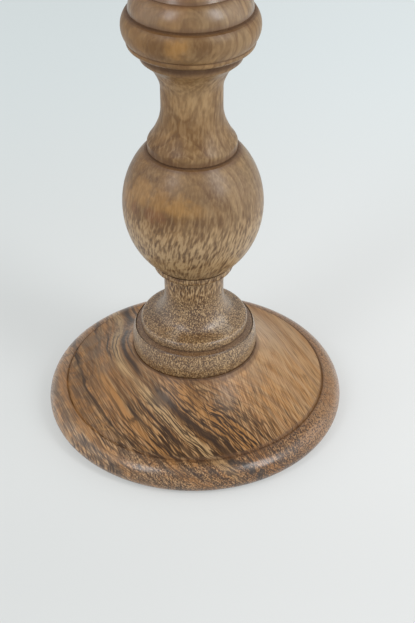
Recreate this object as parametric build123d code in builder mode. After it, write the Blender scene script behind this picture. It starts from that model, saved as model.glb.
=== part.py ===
from build123d import *
from math import acos, cos, sin, sqrt
import os

# Pricket candle stand: a turned wooden foot, stem and dish drawn together by one tie rod,
# with a brass spike screwed on its top end and a loose brass wax pan lying in the dish.
# Every piece is turned about the Z axis. Lengths are millimetres, and Z = 0 is the surface
# that the stand rests on.

# Fits
glue_gap = 0.1
thread_gap = 0.04
loose_gap = 0.3
socket_spare_depth = 0.5
tenon_chamfer = 0.8
cut_overrun = 1.0

# Tie rod, nut and washers
rod_radius = 4.0
rod_bore_gap = 0.4
rod_end_chamfer = 0.6
rod_tail = 2.0
rod_nut_across_flats = 13.0
rod_nut_height = 6.5
rod_nut_chamfer = 0.8
spring_washer_radius = 7.2
spring_washer_thickness = 2.0
spring_washer_slot = 1.2
plain_washer_radius = 12.0
plain_washer_thickness = 2.0

# Foot: a half-round rim, a cut line, and a hollow flare up to the seat of the stem
foot_radius = 70.0
foot_height = 33.1
foot_rim_width = 8.2
foot_rim_turn_height = 5.2
foot_rim_bulge = 2.1
foot_flare_end_height = 14.4
foot_flare_hollow = 3.2
foot_crown_drop = 1.3
foot_groove_width = 1.5
foot_groove_depth = 0.4
foot_seat_margin = 0.3
nut_pocket_margin = 1.0
nut_pocket_spare = 1.5
felt_inset = 12.5
felt_margin = 0.5
felt_thickness = 2.0
felt_proud = 0.4

# Lower stem: ring, bell, neck, collar and ball
stem_tenon_radius = 10.0
stem_tenon_length = 10.0
ring_foot_radius = 28.5
ring_height = 11.5
ring_set_in = 1.0
ring_bulge = 0.9
ring_edge = 0.5
ledge_cut_width = 0.7
ledge_cut_depth = 0.35
ledge_rise = 0.8
bell_radius = 24.6
bell_foot_cut = 0.3
bell_straight = 2.6
bell_height = 20.6
neck_radius = 13.5
neck_height = 6.6
collar_radius = 18.1
collar_under_width = 2.4
collar_under_rise = 1.0
collar_round_height = 2.0
collar_round_bulge = 0.55
collar_height = 5.0
collar_line_depth = 0.6
collar_line_height = 0.5
ball_lip_radius = 18.2
ball_radius = 30.9
ball_lower_half_height = 36.2
ball_upper_half_height = 35.3
ball_ledge = 1.3
ball_ledge_rise = 0.6

# Upper stem: cone, neck, fillet, bead, bowl, dome and second neck
upper_tenon_radius = 9.0
upper_tenon_length = 12.0
cone_radius = 19.2
cone_foot_cut = 0.35
cone_straight = 3.5
cone_height = 16.4
upper_neck_radius = 13.1
upper_neck_height = 8.4
flare_height = 13.6
fillet_height = 4.9
fillet_taper = 1.3
fillet_set_in = 3.0
bead_quirk_height = 0.5
bead_height = 2.2
bead_taper = 0.7
bead_bulge = 0.45
bead_set_in = 0.3
bead_line_depth = 0.2
bead_line_height = 0.5
bowl_foot_radius = 26.5
bowl_top_radius = 26.5
bowl_height = 11.0
bowl_bulge = 1.8
dome_set_in = 1.3
dome_line_depth = 0.2
dome_line_height = 1.5
dome_top_radius = 20.9
dome_height = 8.6
dome_bulge = 1.0
dome_quirk_depth = 0.3
dome_quirk_height = 0.4
top_fillet_height = 2.2
top_fillet_taper = 1.5
top_neck_radius = 13.1
top_neck_rise = 14.0
top_neck_height = 7.6
top_flare_height = 16.0
top_collar_radius = 22.6
top_collar_height = 3.0
top_collar_step = 2.2
top_collar_bulge = 0.6

# Dish: the foot's own forms turned upside down, hollowed for the pan
dish_tenon_radius = 11.0
dish_tenon_length = 8.0
dish_radius = 52.0
dish_height = 21.6
dish_rim_height = 12.0
dish_wall = 8.0
dish_recess_depth = 7.0
dish_recess_edge = 0.8
dish_lip_margin = 0.2
dish_lip_height = 0.8
dish_quirk_depth = 1.6
dish_quirk_height = 0.6
dish_flare_hollow = 2.6
dish_groove_width = 1.1
dish_groove_depth = 0.6

# Pricket: threaded boss, flange let into the dish, hub and spike
boss_radius = 7.0
boss_length = 8.0
boss_gap = 0.3
thread_roof = 2.4
rod_top_spare = 1.0
flange_radius = 13.0
flange_thickness = 2.5
flange_sunk = 0.1
hub_radius = 5.0
hub_edge = 0.4
spike_radius = 2.5
spike_root = 0.8
spike_shank_length = 22.0
spike_point_length = 23.0
spike_tip_radius = 0.35

# Wax pan: spun brass with a rolled edge
pan_thickness = 1.0
pan_side_gap = 0.5
pan_corner_radius = 3.0
pan_roll_radius = 1.2
pan_hole_gap = 0.35

# Heights above the surface, worked out from the sizes
foot_under_z = felt_proud
stem_seat_z = foot_under_z + foot_height
rod_bottom_z = felt_thickness + nut_pocket_spare
nut_under_z = rod_bottom_z + rod_tail
nut_top_z = nut_under_z + rod_nut_height
plain_washer_z = nut_top_z + spring_washer_thickness
nut_pocket_z = plain_washer_z + plain_washer_thickness

ring_top_z = stem_seat_z + ring_height
ledge_z = ring_top_z + ledge_rise
bell_curve_z = ledge_z + bell_straight
neck_z = bell_curve_z + bell_height
collar_z = neck_z + neck_height
collar_under_z = collar_z + collar_under_rise
collar_round_z = collar_under_z + collar_round_height
collar_top_z = collar_z + collar_height
ball_bottom_z = collar_top_z + collar_line_height
ball_shoulder_radius = cone_radius + ball_ledge
ball_lower_drop = ball_lower_half_height * sqrt(1 - (ball_lip_radius / ball_radius) ** 2)
ball_upper_rise = ball_upper_half_height * sqrt(1 - (ball_shoulder_radius / ball_radius) ** 2)
ball_centre_z = ball_bottom_z + ball_lower_drop
ball_shoulder_z = ball_centre_z + ball_upper_rise
cone_seat_z = ball_shoulder_z + ball_ledge_rise

cone_curve_z = cone_seat_z + cone_straight
upper_neck_z = cone_curve_z + cone_height
flare_z = upper_neck_z + upper_neck_height
fillet_z = flare_z + flare_height
fillet_top_z = fillet_z + fillet_height
bead_z = fillet_top_z + bead_quirk_height
bead_top_z = bead_z + bead_height
bowl_z = bead_top_z + bead_line_height
bowl_top_z = bowl_z + bowl_height
dome_z = bowl_top_z + dome_line_height
dome_top_z = dome_z + dome_height
top_fillet_z = dome_top_z + dome_quirk_height
top_curve_z = top_fillet_z + top_fillet_height
top_neck_z = top_curve_z + top_neck_rise
top_flare_foot_z = top_neck_z + top_neck_height
top_flare_z = top_flare_foot_z + top_flare_height
dish_seat_z = top_flare_z + top_collar_height

dish_lip_z = dish_seat_z + dish_quirk_height
dish_curve_z = dish_lip_z + dish_lip_height
dish_top_z = dish_seat_z + dish_height
dish_rim_under_z = dish_top_z - dish_rim_height
dish_floor_z = dish_top_z - dish_recess_depth
flange_under_z = dish_floor_z - flange_sunk - flange_thickness
flange_top_z = flange_under_z + flange_thickness
boss_under_z = flange_under_z - boss_length
pan_under_z = dish_floor_z + loose_gap
pan_floor_z = pan_under_z + pan_thickness
thread_top_z = pan_floor_z - thread_roof
rod_top_z = thread_top_z - rod_top_spare
spike_root_z = pan_floor_z + spike_root
spike_shank_top_z = spike_root_z + spike_shank_length
spike_tip_z = spike_shank_top_z + spike_point_length


def between(start, end, across_share, up_share):
    """A point some share of the way across and some share of the way up from start to end."""
    across = start[0] + (end[0] - start[0]) * across_share
    return (across, start[1] + (end[1] - start[1]) * up_share)


def swept_curve(start, end, shares, lean_start=(0, 1), lean_end=(0, 1)):
    """A free turned curve from start to end through points given as shares of the way."""
    through = [between(start, end, across, up) for across, up in shares]
    Spline(start, *through, end, tangents=(lean_start, lean_end))


# Foot
rod_bore_radius = rod_radius + rod_bore_gap
thread_radius = rod_radius + thread_gap
rim_turn_radius = foot_radius - foot_rim_turn_height
rim_turn_z = foot_under_z + foot_rim_turn_height
rim_crown_radius = foot_radius - foot_rim_width
foot_flare_end_radius = rim_crown_radius - foot_groove_width
foot_flare_z = foot_under_z + foot_flare_end_height
rim_crown_z = foot_flare_z - foot_crown_drop
foot_seat_radius = ring_foot_radius + foot_seat_margin
foot_socket_radius = stem_tenon_radius + glue_gap
foot_socket_floor_z = stem_seat_z - stem_tenon_length - socket_spare_depth
nut_pocket_radius = plain_washer_radius + nut_pocket_margin
felt_radius = foot_radius - felt_inset
rebate_radius = felt_radius + felt_margin

with BuildPart() as foot:
    with BuildSketch(Plane.XZ):
        with BuildLine():
            Polyline(
                (rim_turn_radius, foot_under_z),
                (rebate_radius, foot_under_z),
                (rebate_radius, felt_thickness),
                (nut_pocket_radius, felt_thickness),
                (nut_pocket_radius, nut_pocket_z),
                (rod_bore_radius, nut_pocket_z),
                (rod_bore_radius, foot_socket_floor_z),
                (foot_socket_radius, foot_socket_floor_z),
                (foot_socket_radius, stem_seat_z),
                (foot_seat_radius, stem_seat_z),
            )
            SagittaArc(
                (foot_seat_radius, stem_seat_z),
                (foot_flare_end_radius, foot_flare_z),
                -foot_flare_hollow,
            )
            Polyline(
                (foot_flare_end_radius, foot_flare_z),
                (foot_flare_end_radius + foot_groove_width / 2, rim_crown_z - foot_groove_depth),
                (rim_crown_radius, rim_crown_z),
            )
            SagittaArc(
                (rim_crown_radius, rim_crown_z),
                (foot_radius, rim_turn_z),
                foot_rim_bulge,
            )
            RadiusArc(
                (foot_radius, rim_turn_z),
                (rim_turn_radius, foot_under_z),
                foot_rim_turn_height,
            )
        make_face()
    revolve(axis=Axis.Z)
foot.part.label = "foot"

# Felt disc under the foot
with BuildPart() as base_felt:
    with BuildSketch(Plane.XY):
        Circle(felt_radius)
    extrude(amount=felt_thickness)
base_felt.part.label = "base_felt"

# Tie rod
with BuildPart() as tie_rod:
    with BuildSketch(Plane.XY.offset(rod_bottom_z)):
        Circle(rod_radius)
    extrude(amount=rod_top_z - rod_bottom_z)
    chamfer(tie_rod.edges().filter_by(GeomType.CIRCLE), rod_end_chamfer)
tie_rod.part.label = "tie_rod"

# Hexagon nut, its corners turned off at both ends
nut_corner_radius = rod_nut_across_flats / sqrt(3)

with BuildPart() as rod_nut:
    with BuildSketch(Plane.XY.offset(nut_under_z)):
        RegularPolygon(rod_nut_across_flats / 2, 6, major_radius=False)
        Circle(thread_radius, mode=Mode.SUBTRACT)
    extrude(amount=rod_nut_height)
    with BuildSketch(Plane.XZ):
        with BuildLine():
            Polyline(
                (0, nut_under_z),
                (nut_corner_radius - rod_nut_chamfer, nut_under_z),
                (nut_corner_radius, nut_under_z + rod_nut_chamfer / 2),
                (nut_corner_radius, nut_top_z - rod_nut_chamfer / 2),
                (nut_corner_radius - rod_nut_chamfer, nut_top_z),
                (0, nut_top_z),
                (0, nut_under_z),
            )
        make_face()
    revolve(axis=Axis.Z, mode=Mode.INTERSECT)
rod_nut.part.label = "rod_nut"

# Split spring washer
with BuildPart() as spring_washer:
    with BuildSketch(Plane.XY.offset(nut_top_z)):
        Circle(spring_washer_radius)
        Circle(rod_bore_radius, mode=Mode.SUBTRACT)
    extrude(amount=spring_washer_thickness)
    with BuildSketch(Plane.XY.offset(nut_top_z)):
        slot_reach = spring_washer_radius + cut_overrun
        Rectangle(slot_reach, spring_washer_slot, align=(Align.MIN, Align.CENTER))
    extrude(amount=spring_washer_thickness, mode=Mode.SUBTRACT)
spring_washer.part.label = "spring_washer"

# Plain washer
with BuildPart() as plain_washer:
    with BuildSketch(Plane.XY.offset(plain_washer_z)):
        Circle(plain_washer_radius)
        Circle(rod_bore_radius, mode=Mode.SUBTRACT)
    extrude(amount=plain_washer_thickness)
plain_washer.part.label = "plain_washer"

# Lower stem
bell_curve_shares = ((0.39, 0.11), (0.82, 0.3), (0.97, 0.54))
collar_in_radius = collar_radius - collar_line_depth
collar_under_radius = collar_radius - collar_under_width
ring_shoulder_radius = ring_foot_radius - ring_set_in
ledge_radius = ring_shoulder_radius - ledge_cut_width
bell_foot_radius = bell_radius - bell_foot_cut
cone_foot_radius = cone_radius - cone_foot_cut
upper_socket_radius = upper_tenon_radius + glue_gap
upper_socket_floor_z = cone_seat_z - upper_tenon_length - socket_spare_depth
ball_step_shares = (1, 0.75, 0.5, 0.25)
lower_turn = acos(ball_lip_radius / ball_radius)
upper_turn = acos(ball_shoulder_radius / ball_radius)
ball_outline = [
    (ball_radius * cos(lower_turn * share),
     ball_centre_z - ball_lower_half_height * sin(lower_turn * share))
    for share in ball_step_shares
]
ball_outline.append((ball_radius, ball_centre_z))
ball_outline += [
    (ball_radius * cos(upper_turn * share),
     ball_centre_z + ball_upper_half_height * sin(upper_turn * share))
    for share in reversed(ball_step_shares)
]

with BuildPart() as lower_stem:
    with BuildSketch(Plane.XZ):
        with BuildLine():
            Polyline(
                (rod_bore_radius, upper_socket_floor_z),
                (rod_bore_radius, stem_seat_z - stem_tenon_length),
                (stem_tenon_radius - tenon_chamfer, stem_seat_z - stem_tenon_length),
                (stem_tenon_radius, stem_seat_z - stem_tenon_length + tenon_chamfer),
                (stem_tenon_radius, stem_seat_z),
                (ring_foot_radius - ring_edge, stem_seat_z),
                (ring_foot_radius, stem_seat_z + ring_edge),
            )
            SagittaArc(
                (ring_foot_radius, stem_seat_z + ring_edge),
                (ring_shoulder_radius, ring_top_z),
                -ring_bulge,
            )
            Polyline(
                (ring_shoulder_radius, ring_top_z),
                (ring_shoulder_radius - ledge_cut_width / 2, ring_top_z - ledge_cut_depth),
                (ledge_radius, ring_top_z),
                (bell_foot_radius, ledge_z),
                (bell_radius, ledge_z + bell_foot_cut),
                (bell_radius, bell_curve_z),
            )
            swept_curve((bell_radius, bell_curve_z), (neck_radius, neck_z), bell_curve_shares)
            Polyline(
                (neck_radius, neck_z),
                (neck_radius, collar_z),
                (collar_under_radius, collar_under_z),
            )
            SagittaArc(
                (collar_under_radius, collar_under_z),
                (collar_radius, collar_round_z),
                -collar_round_bulge,
            )
            Polyline(
                (collar_radius, collar_round_z),
                (collar_radius, collar_top_z),
                (collar_in_radius, collar_top_z),
                (ball_lip_radius, ball_bottom_z),
            )
            Spline(*ball_outline)
            Polyline(
                (ball_shoulder_radius, ball_shoulder_z),
                (cone_foot_radius, cone_seat_z),
                (upper_socket_radius, cone_seat_z),
                (upper_socket_radius, upper_socket_floor_z),
                (rod_bore_radius, upper_socket_floor_z),
            )
        make_face()
    revolve(axis=Axis.Z)
lower_stem.part.label = "lower_stem"

# Upper stem
cone_curve_shares = ((0.3, 0.18), (0.58, 0.37), (0.8, 0.56), (0.95, 0.78))
cone_lean = (-0.35, 1)
flare_curve_shares = ((0.16, 0.38), (0.46, 0.7))
flare_lean = (1, 0.9)
top_curve_shares = ((0.5, 0.27), (0.85, 0.6))
top_curve_lean = (-1, 0.8)
top_flare_shares = ((0.1, 0.35), (0.42, 0.72))
bead_top_radius = bowl_foot_radius - bead_set_in
bead_radius = bead_top_radius - bead_taper
bead_in_radius = bead_top_radius - bead_line_depth
fillet_top_radius = bead_radius - fillet_set_in
fillet_radius = fillet_top_radius - fillet_taper
dome_radius = bowl_top_radius - dome_set_in
dome_in_radius = dome_radius - dome_line_depth
dome_neck_radius = dome_top_radius - dome_quirk_depth
top_fillet_radius = dome_top_radius - top_fillet_taper
top_flare_radius = top_collar_radius - top_collar_step
dish_socket_radius = dish_tenon_radius + glue_gap
dish_socket_floor_z = dish_seat_z - dish_tenon_length - socket_spare_depth

with BuildPart() as upper_stem:
    with BuildSketch(Plane.XZ):
        with BuildLine():
            Polyline(
                (rod_bore_radius, dish_socket_floor_z),
                (rod_bore_radius, cone_seat_z - upper_tenon_length),
                (upper_tenon_radius - tenon_chamfer, cone_seat_z - upper_tenon_length),
                (upper_tenon_radius, cone_seat_z - upper_tenon_length + tenon_chamfer),
                (upper_tenon_radius, cone_seat_z),
                (cone_foot_radius, cone_seat_z),
                (cone_radius, cone_seat_z + cone_foot_cut),
                (cone_radius, cone_curve_z),
            )
            swept_curve(
                (cone_radius, cone_curve_z),
                (upper_neck_radius, upper_neck_z),
                cone_curve_shares,
                lean_start=cone_lean,
            )
            Polyline((upper_neck_radius, upper_neck_z), (upper_neck_radius, flare_z))
            swept_curve(
                (upper_neck_radius, flare_z),
                (fillet_radius, fillet_z),
                flare_curve_shares,
                lean_end=flare_lean,
            )
            Polyline(
                (fillet_radius, fillet_z),
                (fillet_top_radius, fillet_top_z),
                (fillet_radius, fillet_top_z),
                (fillet_radius, bead_z),
                (bead_radius, bead_z),
            )
            SagittaArc((bead_radius, bead_z), (bead_top_radius, bead_top_z), -bead_bulge)
            Polyline(
                (bead_top_radius, bead_top_z),
                (bead_in_radius, bead_top_z + bead_line_height / 2),
                (bowl_foot_radius, bowl_z),
            )
            SagittaArc((bowl_foot_radius, bowl_z), (bowl_top_radius, bowl_top_z), -bowl_bulge)
            Polyline(
                (bowl_top_radius, bowl_top_z),
                (dome_in_radius, bowl_top_z + dome_line_height / 2),
                (dome_radius, dome_z),
            )
            SagittaArc((dome_radius, dome_z), (dome_top_radius, dome_top_z), -dome_bulge)
            Polyline(
                (dome_top_radius, dome_top_z),
                (dome_neck_radius, dome_top_z),
                (dome_neck_radius, top_fillet_z),
                (top_fillet_radius, top_curve_z),
            )
            swept_curve(
                (top_fillet_radius, top_curve_z),
                (top_neck_radius, top_neck_z),
                top_curve_shares,
                lean_start=top_curve_lean,
            )
            Polyline((top_neck_radius, top_neck_z), (top_neck_radius, top_flare_foot_z))
            swept_curve(
                (top_neck_radius, top_flare_foot_z),
                (top_flare_radius, top_flare_z),
                top_flare_shares,
                lean_end=flare_lean,
            )
            Polyline((top_flare_radius, top_flare_z), (top_collar_radius, top_flare_z))
            SagittaArc(
                (top_collar_radius, top_flare_z),
                (top_collar_radius, dish_seat_z),
                -top_collar_bulge,
            )
            Polyline(
                (top_collar_radius, dish_seat_z),
                (dish_socket_radius, dish_seat_z),
                (dish_socket_radius, dish_socket_floor_z),
                (rod_bore_radius, dish_socket_floor_z),
            )
        make_face()
    revolve(axis=Axis.Z)
upper_stem.part.label = "upper_stem"

# Drip dish
dish_rim_half = dish_rim_height / 2
dish_rim_turn_radius = dish_radius - dish_rim_half
dish_flare_radius = dish_rim_turn_radius - dish_groove_width
dish_recess_radius = dish_radius - dish_wall
dish_lip_radius = top_collar_radius + dish_lip_margin
dish_quirk_radius = dish_lip_radius - dish_quirk_depth
boss_hole_radius = boss_radius + boss_gap
boss_hole_floor_z = boss_under_z - socket_spare_depth
flange_hole_radius = flange_radius + boss_gap

with BuildPart() as drip_dish:
    with BuildSketch(Plane.XZ):
        with BuildLine():
            Polyline(
                (rod_bore_radius, boss_hole_floor_z),
                (rod_bore_radius, dish_seat_z - dish_tenon_length),
                (dish_tenon_radius - tenon_chamfer, dish_seat_z - dish_tenon_length),
                (dish_tenon_radius, dish_seat_z - dish_tenon_length + tenon_chamfer),
                (dish_tenon_radius, dish_seat_z),
                (dish_quirk_radius, dish_seat_z),
                (dish_quirk_radius, dish_lip_z),
                (dish_lip_radius, dish_lip_z),
                (dish_lip_radius, dish_curve_z),
            )
            SagittaArc(
                (dish_lip_radius, dish_curve_z),
                (dish_flare_radius, dish_rim_under_z),
                dish_flare_hollow,
            )
            Polyline(
                (dish_flare_radius, dish_rim_under_z),
                (dish_flare_radius + dish_groove_width / 2, dish_rim_under_z + dish_groove_depth),
                (dish_rim_turn_radius, dish_rim_under_z),
            )
            ThreePointArc(
                (dish_rim_turn_radius, dish_rim_under_z),
                (dish_radius, dish_rim_under_z + dish_rim_half),
                (dish_rim_turn_radius, dish_top_z),
            )
            Polyline(
                (dish_rim_turn_radius, dish_top_z),
                (dish_recess_radius + dish_recess_edge, dish_top_z),
                (dish_recess_radius, dish_top_z - dish_recess_edge),
                (dish_recess_radius, dish_floor_z),
                (flange_hole_radius, dish_floor_z),
                (flange_hole_radius, flange_under_z),
                (boss_hole_radius, flange_under_z),
                (boss_hole_radius, boss_hole_floor_z),
                (rod_bore_radius, boss_hole_floor_z),
            )
        make_face()
    revolve(axis=Axis.Z)
drip_dish.part.label = "drip_dish"

# Wax pan
pan_radius = dish_recess_radius - pan_side_gap
pan_hole_radius = hub_radius + pan_hole_gap
pan_inner_radius = pan_radius - pan_thickness
pan_inner_corner_radius = pan_corner_radius - pan_thickness
pan_roll_centre_z = dish_top_z + loose_gap + pan_roll_radius
pan_roll_centre_radius = pan_inner_radius + pan_roll_radius
pan_roll_outer_radius = pan_roll_centre_radius + pan_roll_radius
pan_roll_under_z = pan_roll_centre_z - pan_roll_radius
pan_top_z = pan_roll_centre_z + pan_roll_radius
roll_eighth = pan_roll_radius * sqrt(0.5)

with BuildPart() as wax_pan:
    with BuildSketch(Plane.XZ):
        with BuildLine():
            Polyline(
                (pan_radius - pan_corner_radius, pan_under_z),
                (pan_hole_radius, pan_under_z),
                (pan_hole_radius, pan_floor_z),
                (pan_radius - pan_corner_radius, pan_floor_z),
            )
            RadiusArc(
                (pan_radius - pan_corner_radius, pan_floor_z),
                (pan_inner_radius, pan_under_z + pan_corner_radius),
                pan_inner_corner_radius,
            )
            Polyline(
                (pan_inner_radius, pan_under_z + pan_corner_radius),
                (pan_inner_radius, pan_roll_centre_z),
            )
            ThreePointArc(
                (pan_inner_radius, pan_roll_centre_z),
                (pan_roll_centre_radius, pan_top_z),
                (pan_roll_outer_radius, pan_roll_centre_z),
            )
            ThreePointArc(
                (pan_roll_outer_radius, pan_roll_centre_z),
                (pan_roll_centre_radius + roll_eighth, pan_roll_centre_z - roll_eighth),
                (pan_roll_centre_radius, pan_roll_under_z),
            )
            Polyline(
                (pan_roll_centre_radius, pan_roll_under_z),
                (pan_radius, pan_roll_under_z),
                (pan_radius, pan_under_z + pan_corner_radius),
            )
            RadiusArc(
                (pan_radius, pan_under_z + pan_corner_radius),
                (pan_radius - pan_corner_radius, pan_under_z),
                pan_corner_radius,
            )
        make_face()
    revolve(axis=Axis.Z)
wax_pan.part.label = "wax_pan"

# Pricket
with BuildPart() as pricket:
    with BuildSketch(Plane.XZ):
        with BuildLine():
            Polyline(
                (0, thread_top_z),
                (thread_radius, thread_top_z),
                (thread_radius, boss_under_z),
                (boss_radius, boss_under_z),
                (boss_radius, flange_under_z),
                (flange_radius, flange_under_z),
                (flange_radius, flange_top_z),
                (hub_radius, flange_top_z),
                (hub_radius, pan_floor_z - hub_edge),
                (hub_radius - hub_edge, pan_floor_z),
                (spike_radius + spike_root, pan_floor_z),
                (spike_radius, spike_root_z),
                (spike_radius, spike_shank_top_z),
                (spike_tip_radius, spike_tip_z),
                (0, spike_tip_z),
                (0, thread_top_z),
            )
        make_face()
    revolve(axis=Axis.Z)
pricket.part.label = "pricket"

pieces = [
    foot, base_felt, tie_rod, rod_nut, spring_washer, plain_washer,
    lower_stem, upper_stem, drip_dish, wax_pan, pricket,
]
os.makedirs("parts", exist_ok=True)
for piece in pieces:
    export_step(piece.part, "parts/" + piece.part.label + ".step")
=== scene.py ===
from math import cos, sin

import bmesh
import bpy
from mathutils import Matrix, Vector


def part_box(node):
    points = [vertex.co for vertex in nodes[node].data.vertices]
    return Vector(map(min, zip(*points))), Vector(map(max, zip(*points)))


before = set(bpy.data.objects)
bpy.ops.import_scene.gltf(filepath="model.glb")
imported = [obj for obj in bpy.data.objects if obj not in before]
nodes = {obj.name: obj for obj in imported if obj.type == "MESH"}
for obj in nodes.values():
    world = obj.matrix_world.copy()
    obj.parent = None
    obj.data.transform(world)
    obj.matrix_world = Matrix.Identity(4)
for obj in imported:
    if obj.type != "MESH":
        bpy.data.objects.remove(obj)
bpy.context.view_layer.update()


# Laying out shader nodes

# A Mix node's sockets share their names, so they are picked by number
mix_share, first_value, second_value, first_colour, second_colour = 0, 2, 3, 6, 7
mixed_value, mixed_colour = 0, 2


def put(tree, kind, inputs=(), **settings):
    """Adds one node, makes its settings and fills or links its inputs."""
    node = tree.nodes.new("ShaderNode" + kind)
    for setting, value in settings.items():
        setattr(node, setting, value)
    for socket, value in dict(inputs).items():
        if isinstance(value, bpy.types.NodeSocket):
            tree.links.new(value, node.inputs[socket])
        else:
            node.inputs[socket].default_value = value
    return node


def maths(tree, operation, *values):
    """One sum on one to three values."""
    return put(tree, "Math", enumerate(values), operation=operation).outputs[0]


def times(tree, *values):
    """Two or more values multiplied together, in their order."""
    product = values[0]
    for value in values[1:]:
        product = maths(tree, "MULTIPLY", product, value)
    return product


def strongest(tree, masks):
    """The strongest of several masks."""
    joined = masks[0]
    for mask in masks[1:]:
        joined = maths(tree, "MAXIMUM", joined, mask)
    return joined


def distance(tree, one_way, other_way):
    """The straight distance made by two steps at a right angle."""
    squares = maths(tree, "ADD", times(tree, one_way, one_way), times(tree, other_way, other_way))
    return maths(tree, "SQRT", squares)


def spread(tree, value, low, high, to_low=0.0, to_high=1.0):
    """Eases a value from to_low, below low, to to_high, above high."""
    ends = {"Value": value, "From Min": low, "From Max": high, "To Min": to_low, "To Max": to_high}
    return put(tree, "MapRange", ends, interpolation_type="SMOOTHSTEP").outputs[0]


def blend(tree, share, first, second):
    """Passes from the first value to the second by a share."""
    sides = {mix_share: share, first_value: first, second_value: second}
    return put(tree, "Mix", sides).outputs[mixed_value]


def stain(tree, share, below, above, mode="MIX"):
    """Lays one colour over another by a share."""
    sides = {mix_share: share, first_colour: below, second_colour: above}
    node = put(tree, "Mix", sides, data_type="RGBA", blend_type=mode, clamp_factor=True)
    return node.outputs[mixed_colour]


def lay(tree, colour, mask, share, tint):
    """Lays a tint over a colour where a mask is, at a share of the mask's strength."""
    return stain(tree, times(tree, mask, share), colour, tint)


def axes_of(tree, point):
    """The X, Y and Z of a point."""
    return put(tree, "SeparateXYZ", {0: point}).outputs


def point_at(tree, **axes):
    """A point made of its X, Y and Z."""
    return put(tree, "CombineXYZ", axes).outputs[0]


def stretch(tree, point, across, deep, along):
    """A point measured in cells of these three sizes."""
    cells = {0: point, 1: (1 / across, 1 / deep, 1 / along)}
    return put(tree, "VectorMath", cells, operation="MULTIPLY").outputs[0]


def grain_cells(tree, point, pitch, length):
    """A point measured in cells of a pitch across the grain and a length along it."""
    across = maths(tree, "DIVIDE", 1.0, pitch)
    cells = point_at(tree, X=across, Y=across, Z=maths(tree, "DIVIDE", 1.0, length))
    return put(tree, "VectorMath", {0: point, 1: cells}, operation="MULTIPLY").outputs[0]


def cloud(tree, point, scale=1.0, detail=2.0, roughness=0.5, swirl=0.0, **settings):
    """A soft cloud of values about one half, with this many cells to the point's unit."""
    look = {"Vector": point, "Scale": scale, "Detail": detail, "Roughness": roughness, "Distortion": swirl}
    return put(tree, "TexNoise", look, **settings).outputs["Fac"]


def crests(tree, waves, cover, edge):
    """A mask over the crests of a cloud, by how much they cover and how soft their edge is."""
    bare_level, fall_by_cover = 0.68, -0.36
    middle = maths(tree, "MULTIPLY_ADD", cover, fall_by_cover, bare_level)
    over = maths(tree, "DIVIDE", maths(tree, "SUBTRACT", waves, middle), edge)
    return spread(tree, over, -0.5, 0.5)


def new_effect(name, takes, gives):
    """An empty shared effect with its named inputs and outputs."""
    tree = bpy.data.node_groups.new(name, "ShaderNodeTree")
    for label, start in takes.items():
        kind = "NodeSocketVector" if start is None else "NodeSocketFloat"
        socket = tree.interface.new_socket(label, in_out="INPUT", socket_type=kind)
        if start is not None:
            socket.default_value = start
    for label in gives:
        tree.interface.new_socket(label, in_out="OUTPUT", socket_type="NodeSocketFloat")
    return tree, tree.nodes.new("NodeGroupInput").outputs, tree.nodes.new("NodeGroupOutput").inputs


def effect(tree, made, **inputs):
    """A shared effect placed in a material, with inputs named as in the effect but for spaces."""
    named = {label.replace("_", " ").capitalize(): value for label, value in inputs.items()}
    return put(tree, "Group", named, node_tree=made).outputs


def finish_material(name):
    """A bare material: its tree, its shader and the point of the piece."""
    material = bpy.data.materials.new(name)
    material.use_nodes = True
    tree = material.node_tree
    shader = tree.nodes["Principled BSDF"]
    point = put(tree, "TexCoord").outputs["Object"]
    return material, tree, shader, point


def raise_surface(tree, shader, height, strength, depth):
    """Raises a surface by a height, where one stands as high as depth."""
    bump = put(tree, "Bump", {"Height": height, "Strength": strength, "Distance": depth})
    tree.links.new(bump.outputs[0], shader.inputs["Normal"])


# Shared effects


def make_growth_layers():
    """Yearly layers round the heart of the tree. The grain runs along the point's Z."""
    tree, take, give = new_effect(
        "Growth layers",
        {"Point": None, "Heart distance": 0.1, "Layer": 0.003, "Wander": 0.002, "Wander size": 0.03},
        ("Through", "Late wood"),
    )
    axes = axes_of(tree, take["Point"])
    from_heart = maths(tree, "ADD", axes["X"], take["Heart distance"])
    ring = maths(tree, "SUBTRACT", distance(tree, from_heart, axes["Y"]), take["Heart distance"])
    slow = stretch(tree, take["Point"], 1.0, 1.0, 2.5)
    wave = cloud(tree, slow, scale=maths(tree, "DIVIDE", 1.0, take["Wander size"]))
    drift = times(tree, maths(tree, "SUBTRACT", wave, 0.5), take["Wander"])
    through = maths(tree, "MULTIPLY_ADD", drift, 2.0, ring)
    years = maths(tree, "DIVIDE", through, take["Layer"])
    part = maths(tree, "FRACT", years)
    late = times(tree, spread(tree, part, 0.5, 0.92), spread(tree, part, 0.9, 1.0, 1.0, 0.0))
    good_years = put(tree, "TexNoise", {"W": maths(tree, "FLOOR", years), "Scale": 0.73, "Detail": 0.0},
                     noise_dimensions="1D").outputs["Fac"]
    tree.links.new(through, give["Through"])
    tree.links.new(times(tree, late, spread(tree, good_years, 0.3, 0.65, 0.15)), give["Late wood"])
    return tree


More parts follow.
